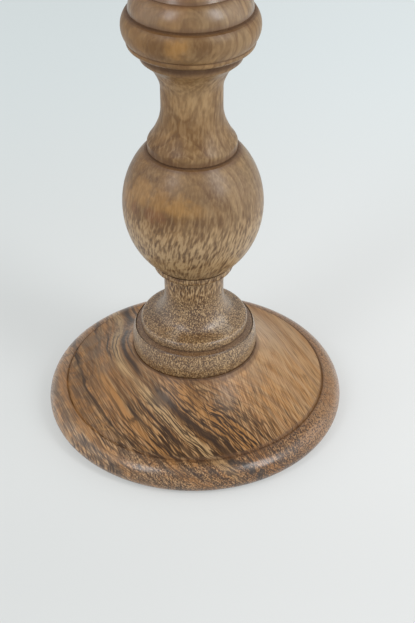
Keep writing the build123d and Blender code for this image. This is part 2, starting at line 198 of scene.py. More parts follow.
def make_streaks():
    """Dark heartwood bands that follow the layers and run out along the grain."""
    tree, take, give = new_effect(
        "Streaks",
        {"Point": None, "Through": 0.0, "Band width": 0.008, "Band length": 0.05, "Fill": 0.5},
        ("Bands",),
    )
    axes = axes_of(tree, take["Point"])
    place = point_at(
        tree,
        X=maths(tree, "DIVIDE", take["Through"], take["Band width"]),
        Y=maths(tree, "DIVIDE", axes["Y"], take["Band length"]),
        Z=maths(tree, "DIVIDE", axes["Z"], take["Band length"]),
    )
    waves = cloud(tree, place, detail=4.0, roughness=0.6, swirl=0.25)
    bare_level, fall_by_fill = 0.68, -0.3
    middle = maths(tree, "MULTIPLY_ADD", take["Fill"], fall_by_fill, bare_level)
    over = maths(tree, "SUBTRACT", waves, middle)
    tree.links.new(spread(tree, over, -0.05, 0.08), give["Bands"])
    return tree


def make_figure_lines():
    """Lines that follow the layers, of one width and length, and the thin contours between them."""
    tree, take, give = new_effect(
        "Figure lines",
        {"Point": None, "Through": 0.0, "Width": 0.0012, "Length": 0.012, "Cover": 0.4, "Edge": 0.1},
        ("Lines", "Contours"),
    )
    widths_across = 7.0
    axes = axes_of(tree, take["Point"])
    place = point_at(
        tree,
        X=maths(tree, "DIVIDE", take["Through"], take["Width"]),
        Y=maths(tree, "DIVIDE", axes["Y"], times(tree, take["Width"], widths_across)),
        Z=maths(tree, "DIVIDE", axes["Z"], take["Length"]),
    )
    waves = cloud(tree, place, detail=1.0, roughness=0.45)
    from_half = maths(tree, "ABSOLUTE", maths(tree, "SUBTRACT", waves, 0.5))
    tree.links.new(crests(tree, waves, take["Cover"], take["Edge"]), give["Lines"])
    tree.links.new(spread(tree, from_half, 0.012, 0.055, 1.0, 0.0), give["Contours"])
    return tree


def make_vein():
    """One vein lying at a set depth through the layers, broken along the grain."""
    tree, take, give = new_effect(
        "Vein",
        {"Point": None, "Through": 0.0, "Place": 0.0, "Width": 0.002, "Feather": 0.0015, "Gaps": 0.4},
        ("Vein",),
    )
    ragged = cloud(tree, stretch(tree, take["Point"], 0.0045, 0.0045, 0.025))
    push = times(tree, maths(tree, "SUBTRACT", ragged, 0.5), take["Feather"])
    pushed = maths(tree, "MULTIPLY_ADD", push, 2.0, take["Through"])
    away = maths(tree, "ABSOLUTE", maths(tree, "SUBTRACT", pushed, take["Place"]))
    body = spread(tree, away, times(tree, take["Width"], 0.25), take["Width"], 1.0, 0.0)
    worn = cloud(tree, stretch(tree, take["Point"], 0.02, 0.02, 0.045), detail=1.0)
    kept = spread(tree, maths(tree, "MULTIPLY_ADD", take["Gaps"], -0.25, worn), 0.3, 0.42)
    tree.links.new(times(tree, body, kept), give["Vein"])
    return tree


def make_pores():
    """Open pores: dashes where they lie in the surface, and dots where they run out of it."""
    tree, take, give = new_effect(
        "Pores",
        {"Point": None, "Pitch": 0.0009, "Length": 0.006, "Size": 0.35, "Amount": 1.0},
        ("Pores",),
    )
    way = put(tree, "TexNoise", {"Vector": stretch(tree, take["Point"], 0.006, 0.006, 0.012),
                                 "Scale": 1.0, "Detail": 1.0}).outputs["Color"]
    bend = (0.0009, 0.0009, 0.0)
    moved = put(tree, "VectorMath", {0: way, 1: bend, 2: take["Point"]}, operation="MULTIPLY_ADD").outputs[0]
    place = grain_cells(tree, moved, take["Pitch"], take["Length"])
    gap = put(tree, "TexVoronoi", {"Vector": place, "Scale": 1.0}).outputs["Distance"]
    hole = spread(tree, gap, times(tree, take["Size"], 0.45), take["Size"], 1.0, 0.0)
    crowd = cloud(tree, stretch(tree, take["Point"], 0.007, 0.007, 0.02))
    held = times(tree, hole, spread(tree, crowd, 0.32, 0.6, 0.25), take["Amount"])
    tree.links.new(held, give["Pores"])
    return tree


def make_fibres():
    """Fine light and dark fibres along the grain, about one half."""
    tree, take, give = new_effect("Fibres", {"Point": None, "Width": 0.0007, "Length": 0.012}, ("Tone",))
    place = grain_cells(tree, take["Point"], take["Width"], take["Length"])
    tree.links.new(cloud(tree, place, detail=1.0), give["Tone"])
    return tree


def make_blotches():
    """Soft patches of any size."""
    tree, take, give = new_effect(
        "Blotches", {"Point": None, "Size": 0.03, "Cover": 0.5, "Edge": 0.12}, ("Patch",))
    waves = cloud(tree, take["Point"], scale=maths(tree, "DIVIDE", 1.0, take["Size"]), detail=3.0,
                  roughness=0.55)
    tree.links.new(crests(tree, waves, take["Cover"], take["Edge"]), give["Patch"])
    return tree


def make_spot():
    """One soft patch of colour with a ragged edge, set at a place."""
    tree, take, give = new_effect("Spot", {"Point": None, "Place": None, "Reach": 0.006}, ("Spot",))
    ends = {0: take["Point"], 1: take["Place"]}
    away = put(tree, "VectorMath", ends, operation="DISTANCE").outputs["Value"]
    ragged = maths(tree, "SUBTRACT", cloud(tree, take["Point"], scale=330.0, detail=3.0), 0.5)
    pushed = maths(tree, "MULTIPLY_ADD", ragged, 1.5, maths(tree, "DIVIDE", away, take["Reach"]))
    tree.links.new(spread(tree, pushed, 0.35, 1.05, 1.0, 0.0), give["Spot"])
    return tree


def make_cut_line():
    """Darkening held in one turned cut, partly soiling and partly painted shade, at a radius and a height."""
    tree, take, give = new_effect(
        "Cut line", {"Point": None, "Radius": 0.05, "Height": 0.01, "Width": 0.001}, ("Stain and shade",))
    axes = axes_of(tree, take["Point"])
    out = maths(tree, "SUBTRACT", distance(tree, axes["X"], axes["Y"]), take["Radius"])
    up = maths(tree, "SUBTRACT", axes["Z"], take["Height"])
    uneven = cloud(tree, take["Point"], scale=260.0)
    reach = times(tree, take["Width"], maths(tree, "MULTIPLY_ADD", uneven, 0.8, 0.6))
    stained_and_shaded = spread(tree, distance(tree, out, up), times(tree, reach, 0.3), reach, 1.0, 0.0)
    tree.links.new(stained_and_shaded, give["Stain and shade"])
    return tree


def make_lathe_lines():
    """Very fine rings left by the tool, as a height about one half."""
    tree, take, give = new_effect("Lathe lines", {"Point": None, "Pitch": 0.0004}, ("Height",))
    axes = axes_of(tree, take["Point"])
    place = point_at(
        tree,
        X=maths(tree, "DIVIDE", distance(tree, axes["X"], axes["Y"]), take["Pitch"]),
        Y=maths(tree, "DIVIDE", axes["Z"], take["Pitch"]),
    )
    tree.links.new(cloud(tree, place, detail=1.0, noise_dimensions="2D"), give["Height"])
    return tree


growth_layers = make_growth_layers()
streaks = make_streaks()
figure_lines = make_figure_lines()
vein = make_vein()
pores = make_pores()
fibres = make_fibres()
blotches = make_blotches()
spot = make_spot()
cut_line = make_cut_line()
lathe_lines = make_lathe_lines()


# Finishes


def board_turn(grain, through):
    """The turn that lays a point in the board: Z along the grain and X through the layers."""
    along = Vector(grain).normalized()
    out = Vector(through)
    out = (out - along * out.dot(along)).normalized()
    return Matrix((out, along.cross(out), along)).to_euler()


def lay_spots(tree, point, colour, spots):
    """Single marks, each as place, reach, share and tint."""
    for place, reach, share, tint in spots:
        mark = effect(tree, spot, point=point, place=place, reach=reach)["Spot"]
        colour = lay(tree, colour, mask=mark, share=share, tint=tint)
    return colour


def cut_stains_and_shade(tree, point, colour, cuts, ledges, grime_and_shade, browning_and_shade=0.6):
    """Brown on ledges and dark in cuts, each as radius, height and width: partly polish and soiling gathered
    there, partly painted shade under lips and between the turnings.
    """
    browned_and_shaded, dirt_and_shade = [
        strongest(tree, [
            effect(tree, cut_line, point=point, radius=radius, height=height, width=width)["Stain and shade"]
            for radius, height, width in places
        ])
        for places in (ledges, cuts)
    ]
    # Ledges take a brown that is partly gathered polish and partly painted shade, and cuts a dark that is
    # partly soiling and partly painted shade
    colour = lay(tree, colour, mask=browned_and_shaded, share=browning_and_shade, tint=(0.092, 0.04, 0.015, 1))
    colour = lay(tree, colour, mask=dirt_and_shade, share=grime_and_shade, tint=(0.046, 0.02, 0.009, 1))
    return colour, dirt_and_shade


def polish(tree, shader, point, tone, holes, dirt_and_shade, relief, satin, veil):
    """Satin polish, broken by the open grain, the soiling and painted shade of the cuts, and the finest tool
    rings.

    Relief is the share of the grain's height that shows, satin the middle roughness, and veil
    what is added to it.
    """
    worn = effect(tree, blotches, point=point, size=0.009, cover=0.5, edge=0.4)["Patch"]
    rough = spread(tree, tone, 0.3, 0.7, satin + 0.03, satin - 0.03)
    rough = maths(tree, "MULTIPLY_ADD", holes, 0.16, rough)
    rough = maths(tree, "MULTIPLY_ADD", worn, 0.05, maths(tree, "ADD", rough, veil))
    rough = maths(tree, "MULTIPLY_ADD", dirt_and_shade, 0.25, rough)
    tree.links.new(rough, shader.inputs["Roughness"])
    rings = effect(tree, lathe_lines, point=point, pitch=0.0006)["Height"]
    height = maths(tree, "MULTIPLY_ADD", holes, -0.9, tone)
    height = maths(tree, "MULTIPLY_ADD", rings, 0.15, height)
    raise_surface(tree, shader, times(tree, height, relief), strength=0.3, depth=0.0003)


def foot_finish(name, grain, through, shift, zones, veins, spots, cuts, ledges):
    """Side grain: golden brown with dark heartwood lines, which wrap round the flare.

    The grain and through give the lie of the board, and shift the place of the piece in it.
    """
    material, tree, shader, point = finish_material(name)
    turn = board_turn(grain, through)
    board = put(tree, "Mapping", {"Vector": point, "Rotation": turn, "Location": shift}).outputs[0]
    mirrored = stretch(tree, board, -1.0, 1.0, 1.0)
    flat = stretch(tree, point, 1.0, 1.0, 7.0)
    drawn_down = put(tree, "Mapping", {"Vector": flat, "Rotation": turn}).outputs[0]
    layers = effect(tree, growth_layers, point=board, heart_distance=0.22, layer=0.0036,
                    wander=0.0032, wander_size=0.022)
    depth = layers["Through"]

    def figure(lie, width, length, cover, edge):
        """Lines of figure that follow the layers, in the board or mirrored in it."""
        return effect(tree, figure_lines, point=lie, through=depth, width=width, length=length,
                      cover=cover, edge=edge)

    rim_starts, rim_is_full = 0.0605, 0.0625
    axes = axes_of(tree, point)
    rim = spread(tree, distance(tree, axes["X"], axes["Y"]), rim_starts, rim_is_full)
    end_grain = times(tree, rim, spread(tree, axes["X"], -0.05, -0.005))
    busy = spread(tree, depth, 0.01, 0.034, 1.0, 0.2)
    crisp = times(tree, spread(tree, axes["Y"], -0.056, -0.01, 1.15, 0.45),
                  spread(tree, depth, -0.03, 0.03, 0.82, 1.12))

    # Ground colour, from the left of the foot to its right, and the year rings
    colour = stain(tree, spread(tree, depth, -0.03, 0.0), (0.45, 0.228, 0.092, 1), (0.3, 0.148, 0.056, 1))
    colour = stain(tree, spread(tree, depth, 0.02, 0.046), colour, (0.405, 0.24, 0.115, 1))
    colour = lay(tree, colour, mask=layers["Late wood"], share=0.42, tint=(0.12, 0.06, 0.027, 1))

    # Broad figure: golden, brown, dark and pale bands, and clouding on the left
    golden = figure(board, width=0.0026, length=0.05, cover=0.5, edge=0.22)["Lines"]
    colour = lay(tree, colour, mask=golden, share=0.62, tint=(0.34, 0.158, 0.043, 1))
    broad = figure(mirrored, width=0.0021, length=0.045, cover=0.42, edge=0.16)["Lines"]
    colour = lay(tree, colour, mask=times(tree, broad, busy), share=0.5, tint=(0.105, 0.043, 0.012, 1))
    dark = effect(tree, streaks, point=board, through=depth, band_width=0.0045, band_length=0.05,
                  fill=0.5)["Bands"]
    colour = lay(tree, colour, mask=times(tree, dark, busy), share=0.44, tint=(0.088, 0.037, 0.011, 1))
    pale = figure(mirrored, width=0.0012, length=0.04, cover=0.4, edge=0.14)["Lines"]
    colour = lay(tree, colour, mask=pale, share=0.32, tint=(0.41, 0.265, 0.13, 1))
    cloudy = strongest(tree, [
        effect(tree, blotches, point=board, size=0.006, cover=0.42, edge=0.16)["Patch"],
        effect(tree, blotches, point=mirrored, size=0.0035, cover=0.36, edge=0.16)["Patch"],
    ])
    colour = lay(tree, colour, mask=cloudy, share=spread(tree, depth, -0.022, -0.007, 0.6, 0.0),
                 tint=(0.115, 0.072, 0.045, 1))

    # Fibres, which end as specks where the rim cuts across them
    tone = blend(
        tree, end_grain,
        effect(tree, fibres, point=drawn_down, width=0.0005, length=0.014)["Tone"],
        effect(tree, fibres, point=board, width=0.0006, length=0.001)["Tone"],
    )
    sharp = times(tree, crisp, maths(tree, "MULTIPLY_ADD", rim, 0.75, 1.0))
    colour = lay(tree, colour, mask=spread(tree, tone, 0.34, 0.5, 0.66, 0.0), share=sharp,
                 tint=(0.06, 0.027, 0.01, 1))
    colour = lay(tree, colour, mask=spread(tree, tone, 0.5, 0.66, 0.0, 0.48), share=sharp,
                 tint=(0.47, 0.3, 0.155, 1))

    # Zones, thin lines and veins
    for place, width, feather, gaps, share, tint in zones:
        zone = effect(tree, vein, point=board, through=depth, place=place, width=width, feather=feather,
                      gaps=gaps)["Vein"]
        colour = lay(tree, colour, mask=zone, share=share, tint=tint)
    lines = figure(board, width=0.00068, length=0.03, cover=0.28, edge=0.09)["Lines"]
    thin = figure(mirrored, width=0.0016, length=0.03, cover=0.5, edge=0.1)["Contours"]
    lines = maths(tree, "MAXIMUM", lines, times(tree, thin, 0.85))
    clear = times(tree, busy, spread(tree, rim, 0.0, 1.0, 1.0, 0.72))
    colour = lay(tree, colour, mask=lines, share=times(tree, clear, crisp), tint=(0.042, 0.02, 0.008, 1))
    dark_veins = strongest(tree, [
        effect(tree, vein, point=board, through=depth, place=place, width=width, feather=feather,
               gaps=gaps)["Vein"]
        for place, width, feather, gaps in veins
    ])
    colour = lay(tree, colour, mask=dark_veins, share=spread(tree, rim, 0.0, 1.0, 0.82, 0.62),
                 tint=(0.03, 0.015, 0.008, 1))

    # The rim darkens towards its right, before the single marks
    darkened = times(tree, rim, spread(tree, axes["X"], -0.05, 0.05, 0.05, 0.6))
    colour = stain(tree, darkened, colour, (0.5, 0.36, 0.22, 1), "MULTIPLY")
    colour = lay_spots(tree, point, colour, spots)

    # Open pores, then polish, and soiling and painted shade in the cuts and on the ledges
    dashes = effect(tree, pores, point=drawn_down, pitch=0.0013, length=0.013, size=0.36, amount=1.0)["Pores"]
    specks = effect(tree, pores, point=board, pitch=0.0009, length=0.0015, size=0.42, amount=1.0)["Pores"]
    holes = maths(tree, "MAXIMUM", times(tree, dashes, crisp), times(tree, specks, end_grain))
    colour = lay(tree, colour, mask=holes, share=0.7, tint=(0.03, 0.015, 0.007, 1))
    colour, dirt_and_shade = cut_stains_and_shade(tree, point, colour, cuts, ledges, grime_and_shade=0.7,
                              browning_and_shade=spread(tree, axes["X"], -0.05, 0.02, 0.15, 0.6))
    tree.links.new(colour, shader.inputs["Base Color"])
    polish(tree, shader, point, tone, holes, dirt_and_shade, relief=0.5, satin=0.38, veil=0.0)
    tree.links.new(times(tree, rim, 0.65), shader.inputs["Coat Weight"])
    shader.inputs["Coat Roughness"].default_value = 0.22
    shader.inputs["Specular IOR Level"].default_value = 0.32
    return material


def stem_finish(name, shift, neck_under, plain_over, plain, strength, curl_under, coarse, cuts, ledges,
                grime_and_shade, satin, veil, gleam, gloss, gloss_blur, spots):
    """Upright grain: tan brown, dashed on the necks and dotted where the grain curls.

    Heights: the fibres are fine up to neck_under, curl to dots up to curl_under, and fade to the
    share plain over plain_over. Strength is the fibres' strength, and coarse the width of the wide
    ones. Grime is the darkening in the cuts, partly soiling and partly painted shade, satin the
    roughness, veil what it gains over the neck, and gleam the specular level. Gloss gives the two
    heights between which the coat passes from its third number to its fourth, and gloss_blur its roughness.
    """
    material, tree, shader, point = finish_material(name)
    turn = board_turn(grain=(0.1, 0.15, 0.98), through=(-0.42, -0.88, 0.18))
    board = put(tree, "Mapping", {"Vector": point, "Rotation": turn, "Location": shift}).outputs[0]
    layers = effect(tree, growth_layers, point=board, heart_distance=0.045, layer=0.0032,
                    wander=0.0038, wander_size=0.018)
    depth = layers["Through"]
    axes = axes_of(tree, point)
    height = axes["Z"]

    # A point laid out round the turning and down it, with a slight slant
    radius, slant = 0.026, -0.22
    out = distance(tree, axes["X"], axes["Y"])
    around = point_at(tree, X=maths(tree, "DIVIDE", axes["X"], out),
                      Y=maths(tree, "DIVIDE", axes["Y"], out))
    down = point_at(tree, X=times(tree, height, slant), Z=height)
    drawn_down = put(tree, "VectorMath", {0: around, 1: (radius, radius, 0.0), 2: down},
                     operation="MULTIPLY_ADD").outputs[0]

    # Where the grain curls, where it lies over the neck, and how strongly it shows
    short_ease, long_ease, share_above = 0.004, 0.01, 0.72
    curl = spread(tree, height, curl_under - short_ease, curl_under + short_ease, 1.0, 0.0)
    above = spread(tree, height, neck_under - short_ease, neck_under + short_ease)
    crisp = spread(tree, height, plain_over - long_ease, plain_over + long_ease, 1.0, plain)
    crisp = times(tree, crisp, spread(tree, above, 0.0, 1.0, strength, strength * share_above))

    # Ground colour, from left to right, and paler low on the ball
    side = spread(tree, axes["X"], -0.02, 0.024)
    colour = stain(tree, side, (0.2, 0.1, 0.031, 1), (0.236, 0.149, 0.071, 1))
    pale = times(tree, above, spread(tree, height, 0.1, 0.119, 0.54, 0.0))
    colour = stain(tree, pale, colour, (0.38, 0.265, 0.145, 1))

    # Broad figure: golden and grey clouds, swirls, year rings, dark bands and mottling
    golden = effect(tree, blotches, point=stretch(tree, board, 1.0, 1.0, 1.5), size=0.016, cover=0.36,
                    edge=0.3)["Patch"]
    colour = lay(tree, colour, mask=golden, share=0.4, tint=(0.31, 0.168, 0.055, 1))
    grey = effect(tree, blotches, point=stretch(tree, board, 1.3, 1.3, 1.9), size=0.012, cover=0.45,
                  edge=0.35)["Patch"]
    colour = lay(tree, colour, mask=grey, share=0.4, tint=(0.18, 0.118, 0.055, 1))
    swirl = effect(tree, figure_lines, point=board, through=depth, width=0.0019, length=0.012, cover=0.42,
                   edge=0.18)
    colour = lay(tree, colour, mask=swirl["Lines"], share=0.3, tint=(0.105, 0.046, 0.013, 1))
    colour = lay(tree, colour, mask=swirl["Contours"], share=0.32, tint=(0.085, 0.04, 0.013, 1))
    colour = lay(tree, colour, mask=layers["Late wood"], share=0.6, tint=(0.1, 0.043, 0.012, 1))
    bands = effect(tree, streaks, point=board, through=depth, band_width=0.0045, band_length=0.022,
                   fill=0.4)["Bands"]
    colour = lay(tree, colour, mask=bands, share=0.36, tint=(0.1, 0.045, 0.013, 1))
    mottle = effect(tree, blotches, point=board, size=0.0042, cover=0.4, edge=0.25)["Patch"]
    colour = lay(tree, colour, mask=mottle, share=0.24, tint=(0.11, 0.052, 0.017, 1))
    colour = lay_spots(tree, point, colour, spots)

    # Fibres: dotted where the grain curls, fine up the neck, drawn down low on the ball, wide above
    fine = effect(tree, fibres, point=board, width=0.00066, length=0.0028)["Tone"]
    wide = effect(tree, fibres, point=board, width=coarse, length=0.0052)["Tone"]
    drawn = effect(tree, fibres, point=drawn_down, width=0.0009, length=0.0046)["Tone"]
    curly = effect(tree, fibres, point=board, width=0.00058, length=0.0007)["Tone"]
    wide = blend(tree, spread(tree, height, 0.112, 0.121, 1.0, 0.0), wide, drawn)
    tone = blend(tree, curl, blend(tree, above, fine, wide), curly)
    lifted = maths(tree, "MULTIPLY_ADD", pale, 0.1, tone)
    colour = lay(tree, colour, mask=spread(tree, lifted, 0.36, 0.5, 0.92, 0.0), share=crisp,
                 tint=(0.058, 0.026, 0.01, 1))
    colour = lay(tree, colour, mask=spread(tree, lifted, 0.5, 0.63, 0.0, 0.65), share=crisp,
                 tint=(0.46, 0.315, 0.165, 1))

    # Open pores, then polish, and soiling and painted shade in the cuts and on the ledges
    dashes = effect(tree, pores, point=drawn_down, pitch=0.0013, length=0.005, size=0.34, amount=0.7)["Pores"]
    specks = effect(tree, pores, point=board, pitch=0.001, length=0.0013, size=0.44, amount=1.0)["Pores"]
    holes = times(tree, blend(tree, curl, dashes, specks), crisp)
    colour = lay(tree, colour, mask=holes, share=0.7, tint=(0.036, 0.017, 0.008, 1))
    colour, dirt_and_shade = cut_stains_and_shade(tree, point, colour, cuts, ledges, grime_and_shade=grime_and_shade)
    tree.links.new(colour, shader.inputs["Base Color"])
    polish(tree, shader, point, tone, holes, dirt_and_shade, relief=times(tree, crisp, crisp, 0.62), satin=satin,
           veil=times(tree, above, veil))
    tree.links.new(spread(tree, height, *gloss), shader.inputs["Coat Weight"])
    shader.inputs["Coat Roughness"].default_value = gloss_blur
    shader.inputs["Specular IOR Level"].default_value = gleam
    return material


def brass_finish():
    """Spun brass, mellowed, with tool rings and darker tarnish."""
    material, tree, shader, point = finish_material("Aged brass")
    lines = effect(tree, lathe_lines, point=point, pitch=0.00035)["Height"]
    dull = effect(tree, blotches, point=point, size=0.012, cover=0.5, edge=0.35)["Patch"]
    tarnish = effect(tree, blotches, point=point, size=0.0035, cover=0.22, edge=0.12)["Patch"]
    colour = stain(tree, dull, (0.62, 0.44, 0.175, 1), (0.47, 0.31, 0.125, 1))
    colour = lay(tree, colour, mask=tarnish, share=0.4, tint=(0.2, 0.12, 0.055, 1))
    colour = stain(tree, spread(tree, lines, 0.3, 0.7, 0.2, 0.0), colour, (0.3, 0.2, 0.08, 1))
    rough = maths(tree, "MULTIPLY_ADD", dull, 0.12, spread(tree, lines, 0.2, 0.8, 0.34, 0.24))
    tree.links.new(colour, shader.inputs["Base Color"])
    tree.links.new(rough, shader.inputs["Roughness"])
    raise_surface(tree, shader, lines, strength=0.25, depth=0.00012)
    shader.inputs["Metallic"].default_value = 1.0
    return material


def zinc_finish():
    """Zinc plate with faint tool rings and dull patches."""
    material, tree, shader, point = finish_material("Zinc plated steel")
    lines = effect(tree, lathe_lines, point=point, pitch=0.0003)["Height"]
    dull = effect(tree, blotches, point=point, size=0.006, cover=0.5, edge=0.3)["Patch"]
    colour = stain(tree, dull, (0.6, 0.6, 0.58, 1), (0.42, 0.42, 0.41, 1))
    tree.links.new(colour, shader.inputs["Base Color"])
    tree.links.new(maths(tree, "MULTIPLY_ADD", dull, 0.15, 0.3), shader.inputs["Roughness"])
    raise_surface(tree, shader, lines, strength=0.2, depth=0.0001)
    shader.inputs["Metallic"].default_value = 1.0
    return material


def felt_finish():
    """Pressed wool felt: matted fibres and a little lint."""
    material, tree, shader, point = finish_material("Pressed felt")
    wool = effect(tree, fibres, point=point, width=0.0005, length=0.0009)["Tone"]
    lint = effect(tree, blotches, point=point, size=0.0012, cover=0.25, edge=0.1)["Patch"]
    worn = effect(tree, blotches, point=point, size=0.02, cover=0.5, edge=0.4)["Patch"]
    colour = stain(tree, spread(tree, wool, 0.3, 0.7), (0.028, 0.023, 0.019, 1), (0.075, 0.062, 0.05, 1))
    colour = lay(tree, colour, mask=lint, share=0.3, tint=(0.16, 0.14, 0.12, 1))
    colour = lay(tree, colour, mask=worn, share=0.25, tint=(0.1, 0.085, 0.07, 1))
    tree.links.new(colour, shader.inputs["Base Color"])
    tree.links.new(spread(tree, wool, 0.3, 0.7, 0.98, 0.88), shader.inputs["Roughness"])
    raise_surface(tree, shader, wool, strength=0.6, depth=0.0004)
    shader.inputs["Specular IOR Level"].default_value = 0.2
    return material


# Heights at which the turnings meet
foot_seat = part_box("foot")[1].z
cone_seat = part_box("lower_stem")[1].z
dish_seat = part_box("upper_stem")[1].z

# Tints of the zones and the single marks
tan, orange = (0.42, 0.275, 0.135, 1), (0.34, 0.158, 0.045, 1)
gold, brown = (0.34, 0.172, 0.045, 1), (0.08, 0.033, 0.008, 1)
ink, rust = (0.022, 0.014, 0.01, 1), (0.15, 0.052, 0.017, 1)
# The last tint is a painted highlight: pale colour laid where the lamps' highlight falls on the bell
slate, painted_highlight = (0.15, 0.105, 0.07, 1), (0.45, 0.4, 0.33, 1)

# Broad zones: place through the layers, width, ragged edge, gaps, share and tint
foot_zones = (
    (-0.0012, 0.0030, 0.0014, 0.0, 0.75, tan),
    (0.0105, 0.0050, 0.0020, 0.0, 0.62, orange),
    (0.0031, 0.0030, 0.0012, 0.0, 0.72, brown),
    (-0.0125, 0.0026, 0.0020, 0.3, 0.5, orange),
    (-0.0260, 0.0030, 0.0020, 0.3, 0.5, orange),
)
dish_zones = (
    (-0.0040, 0.0040, 0.0020, 0.2, 0.5, orange),
    (0.0120, 0.0030, 0.0020, 0.2, 0.5, tan),
)

# Veins: place through the layers, width, ragged edge and gaps
foot_veins = (
    (0.0034, 0.0016, 0.0012, 0.1),
    (0.0062, 0.0007, 0.0010, 0.2),
    (-0.0006, 0.0004, 0.0010, 0.5),
    (-0.0024, 0.0004, 0.0010, 0.5),
    (-0.0054, 0.0010, 0.0014, 0.3),
    (-0.0096, 0.0008, 0.0016, 0.5),
    (-0.0182, 0.0008, 0.0024, 0.6),
    (-0.0290, 0.0008, 0.0026, 0.6),
)
dish_veins = (
    (0.0100, 0.0010, 0.0014, 0.4),
    (-0.0120, 0.0012, 0.0018, 0.5),
)

# Cuts and ledges: radius, height and width. Their dark and brown are partly soiling and polish and partly
# painted shade, under lips and between the turnings
foot_cuts = (
    (0.0288, foot_seat, 0.0012),
)
# On the foot, painted shade in the groove before the rim and round the foot of the stem
foot_ledges = (
    (0.0609, foot_seat - 0.0201, 0.0021),
    (0.0300, foot_seat - 0.0006, 0.0024),
)
dish_cuts = (
    (0.0218, dish_seat + 0.0003, 0.0014),
)
dish_ledges = (
    (0.0455, dish_seat + 0.0102, 0.0018),
    (0.0440, dish_seat + 0.0146, 0.0014),
)
lower_cuts = (
    (0.0283, foot_seat, 0.0007),
    (0.0271, foot_seat + 0.0112, 0.0006),
    (0.0243, foot_seat + 0.0123, 0.0008),
    (0.0177, foot_seat + 0.0472, 0.0008),
    (0.0190, cone_seat, 0.0011),
)
# Painted shade on the ledge between bell and ring, and round the foot of the cone on the ball
lower_ledges = (
    (0.0256, foot_seat + 0.0119, 0.0020),
    (0.0199, cone_seat - 0.0003, 0.0027),
)
upper_cuts = (
    (0.0189, cone_seat, 0.0008),
    # Painted shade under the bead's lower edge
    (0.0218, cone_seat + 0.0450, 0.0024),
    (0.0251, cone_seat + 0.0617, 0.0010),
    (0.0214, dish_seat - 0.0031, 0.0010),
)
# Mostly painted shade: at the foot of the cone, under the bead's lower edge and in the soft lines between the
# turnings
upper_ledges = (
    (0.0194, cone_seat + 0.0009, 0.0024),
    (0.0262, cone_seat + 0.0498, 0.0007),
    (0.0218, cone_seat + 0.0446, 0.0034),
    (0.0252, cone_seat + 0.0617, 0.0028),
    (0.0205, cone_seat + 0.0714, 0.0018),
    (0.0195, cone_seat + 0.0420, 0.0010),
)

# Single marks: place, reach, share and tint
foot_spots = (
    # The crack on the rim
    ((0.0157, -0.0617, 0.0132), 0.0020, 0.8, ink),
    ((0.0188, -0.0620, 0.0128), 0.0021, 0.8, ink),
    ((0.0219, -0.0629, 0.0117), 0.0022, 0.85, ink),
    ((0.0250, -0.0639, 0.0096), 0.0022, 0.85, ink),
    ((0.0282, -0.0639, 0.0065), 0.0020, 0.8, ink),
    ((0.0295, -0.0626, 0.0083), 0.0016, 0.7, ink),
    # Patches in front of the flare: the grey ones are painted sheen, the greyed look of the lamps'
    # reflections there, and the brown one is painted shade on its front
    ((-0.0150, -0.0330, 0.0256), 0.0060, 0.35, slate),
    ((0.0006, -0.0345, 0.0262), 0.0060, 0.35, brown),
    ((0.0280, -0.0198, 0.0278), 0.0080, 0.3, slate),
    ((0.0140, -0.0340, 0.0258), 0.0070, 0.3, slate),
    # Flecks on the right and grey patches on the left
    ((0.0520, -0.0080, 0.0190), 0.0030, 0.35, brown),
    ((0.0500, -0.0180, 0.0190), 0.0030, 0.3, brown),
    ((-0.0517, 0.0240, 0.0156), 0.0090, 0.5, slate),
    ((-0.0480, 0.0110, 0.0178), 0.0070, 0.4, slate),
    ((-0.0420, -0.0050, 0.0205), 0.0060, 0.35, slate),
)
